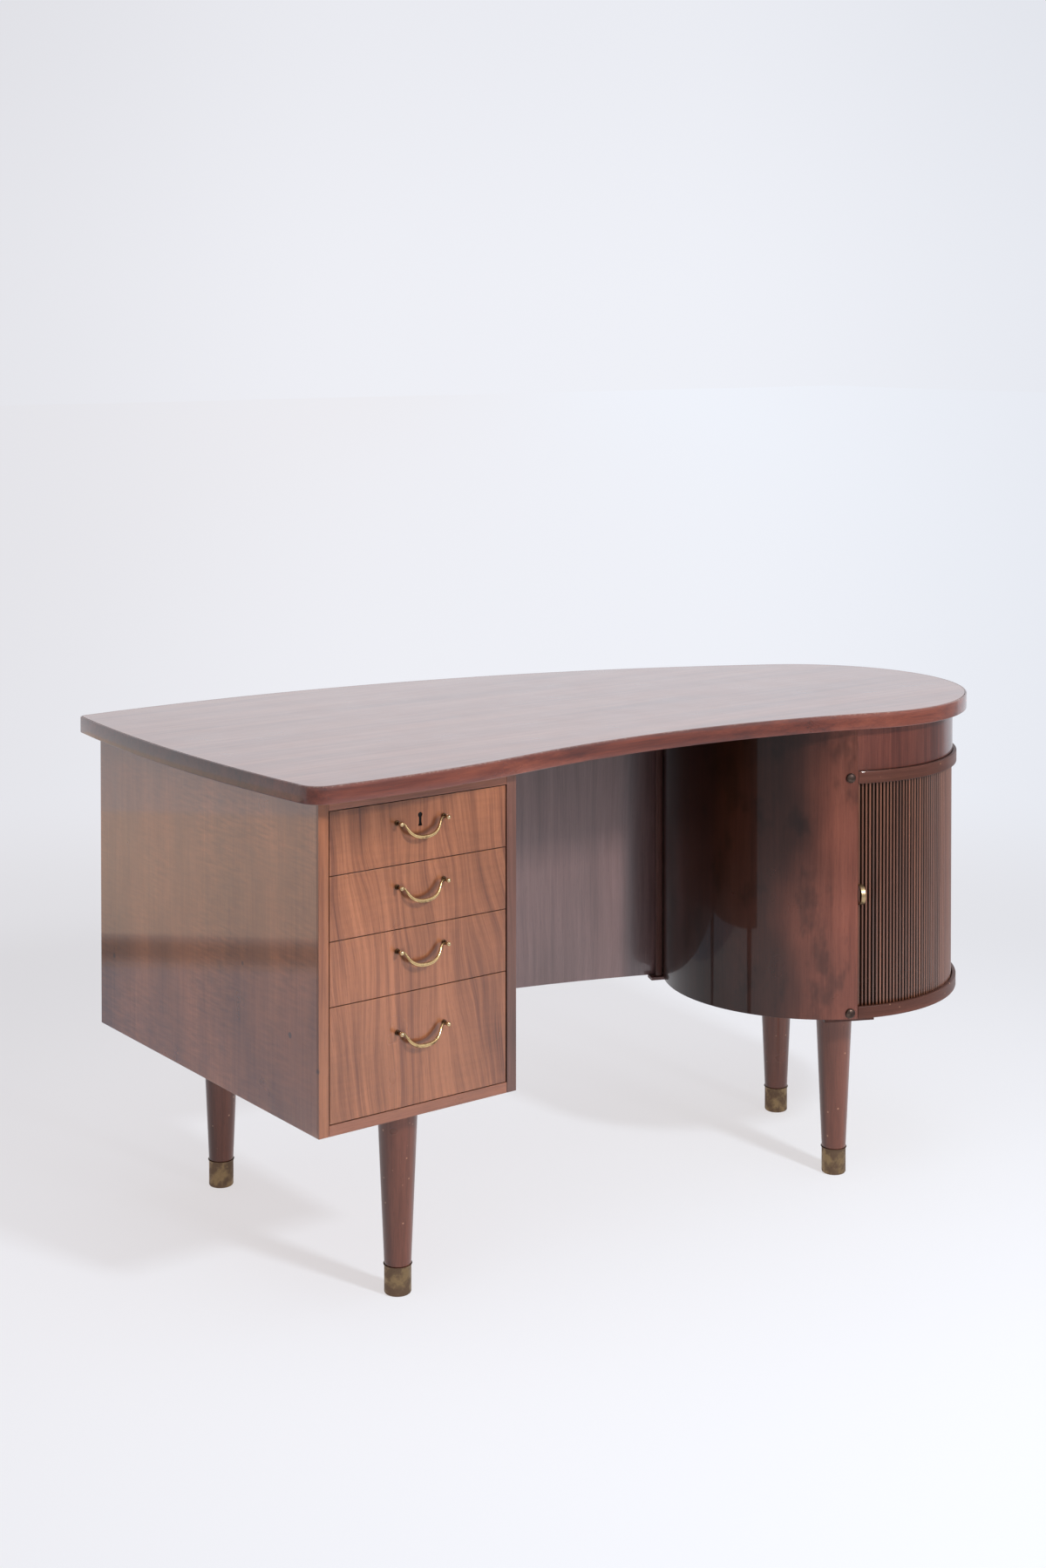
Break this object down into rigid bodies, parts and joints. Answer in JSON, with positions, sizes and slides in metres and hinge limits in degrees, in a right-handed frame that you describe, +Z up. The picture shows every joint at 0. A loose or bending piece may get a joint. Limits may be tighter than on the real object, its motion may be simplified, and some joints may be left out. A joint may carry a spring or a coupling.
{
  "type": "kidney-shaped desk",
  "caption": "Kidney-topped writing desk on tapered legs with brass ferrules: a drawer pedestal with bail handles on the left, a kneehole, and a round tambour cabinet on the right.",
  "frame": {"origin": "on the floor, under the middle of the top's bounding box", "axes": "+X to the right along the drawer fronts, +Y to the back, +Z up; the drawers open towards -Y"},
  "size_m": [1.345, 0.7316, 0.74],
  "materials": {
    "figured_veneer": "semi-gloss figured veneer",
    "dark_veneer": "glossy dark red-brown veneer",
    "edge_wood": "polished solid edge",
    "slat_wood": "satin slats",
    "plain_wood": "plain pale wood inside",
    "leg_wood": "polished turned legs",
    "bright_brass": "handled brass",
    "aged_brass": "dark aged brass",
    "steel": "plain lock steel"
  },
  "bodies": {
    "carcass": {"cabinet_ceiling": "plain_wood", "cabinet_floor": "plain_wood", "cabinet_shelf": "plain_wood", "cover_button_lower": "aged_brass", "cover_button_upper": "aged_brass", "desktop": "figured_veneer", "desktop_edge_band": "edge_wood", "ferrule_cabinet_back": "aged_brass", "ferrule_cabinet_front": "aged_brass", "ferrule_pedestal_back": "aged_brass", "ferrule_pedestal_front": "aged_brass", "frieze": "dark_veneer", "leg_cabinet_back": "leg_wood", "leg_cabinet_front": "leg_wood", "leg_pedestal_back": "leg_wood", "leg_pedestal_front": "leg_wood", "leg_rail": "edge_wood", "liner_lower": "plain_wood", "liner_upper": "plain_wood", "modesty_panel": "dark_veneer", "modesty_post": "edge_wood", "pedestal_back": "figured_veneer", "pedestal_floor": "figured_veneer", "pedestal_side_left": "figured_veneer", "pedestal_side_right": "figured_veneer", "pedestal_top_rail": "edge_wood", "rail_lower": "edge_wood", "rail_upper": "edge_wood", "runner_frame_left": "plain_wood", "runner_frame_right": "plain_wood", "shell_back": "dark_veneer", "shell_front": "dark_veneer"},
    "drawer_1": {"drawer_1_front": "figured_veneer", "drawer_1_box": "plain_wood", "drawer_1_bottom": "plain_wood", "drawer_1_post_left": "aged_brass", "drawer_1_post_right": "aged_brass", "drawer_1_lock_case": "steel"},
    "bail_1": {"drawer_1_bail": "bright_brass"},
    "drawer_2": {"drawer_2_front": "figured_veneer", "drawer_2_box": "plain_wood", "drawer_2_bottom": "plain_wood", "drawer_2_post_left": "aged_brass", "drawer_2_post_right": "aged_brass"},
    "bail_2": {"drawer_2_bail": "bright_brass"},
    "drawer_3": {"drawer_3_front": "figured_veneer", "drawer_3_box": "plain_wood", "drawer_3_bottom": "plain_wood", "drawer_3_post_left": "aged_brass", "drawer_3_post_right": "aged_brass"},
    "bail_3": {"drawer_3_bail": "bright_brass"},
    "drawer_4": {"drawer_4_front": "figured_veneer", "drawer_4_box": "plain_wood", "drawer_4_bottom": "plain_wood", "drawer_4_post_left": "aged_brass", "drawer_4_post_right": "aged_brass"},
    "bail_4": {"drawer_4_bail": "bright_brass"},
    "lock_bolt": {"drawer_1_lock_bolt": "steel"},
    "tambour": {"tambour_curtain": "slat_wood", "tambour_pull": "bright_brass"}
  },
  "joints": [
    {"name": "drawer_1_slide", "type": "slide", "parent": "carcass", "child": "drawer_1", "axis": [0, -1, 0], "range_m": [0, 0.4]},
    {"name": "bail_1_swing", "type": "hinge", "parent": "drawer_1", "child": "bail_1", "pos_m": [-0.45646, -0.28063, 0.66757], "axis": [-1, 0, 0], "range_deg": [-12, 100]},
    {"name": "drawer_2_slide", "type": "slide", "parent": "carcass", "child": "drawer_2", "axis": [0, -1, 0], "range_m": [0, 0.4]},
    {"name": "bail_2_swing", "type": "hinge", "parent": "drawer_2", "child": "bail_2", "pos_m": [-0.45646, -0.28063, 0.58147], "axis": [-1, 0, 0], "range_deg": [-12, 100]},
    {"name": "drawer_3_slide", "type": "slide", "parent": "carcass", "child": "drawer_3", "axis": [0, -1, 0], "range_m": [0, 0.4]},
    {"name": "bail_3_swing", "type": "hinge", "parent": "drawer_3", "child": "bail_3", "pos_m": [-0.45646, -0.28063, 0.49497], "axis": [-1, 0, 0], "range_deg": [-12, 100]},
    {"name": "drawer_4_slide", "type": "slide", "parent": "carcass", "child": "drawer_4", "axis": [0, -1, 0], "range_m": [0, 0.4]},
    {"name": "bail_4_swing", "type": "hinge", "parent": "drawer_4", "child": "bail_4", "pos_m": [-0.45646, -0.28063, 0.38567], "axis": [-1, 0, 0], "range_deg": [-12, 100]},
    {"name": "lock_bolt_throw", "type": "slide", "parent": "drawer_1", "child": "lock_bolt", "axis": [0, 0, 1], "range_m": [0, 0.007]},
    {"name": "tambour_turn", "type": "hinge", "parent": "carcass", "child": "tambour", "pos_m": [0.41954, -0.11283, 0.4575], "axis": [0, 0, 1], "range_deg": [0, 120]}
  ]
}
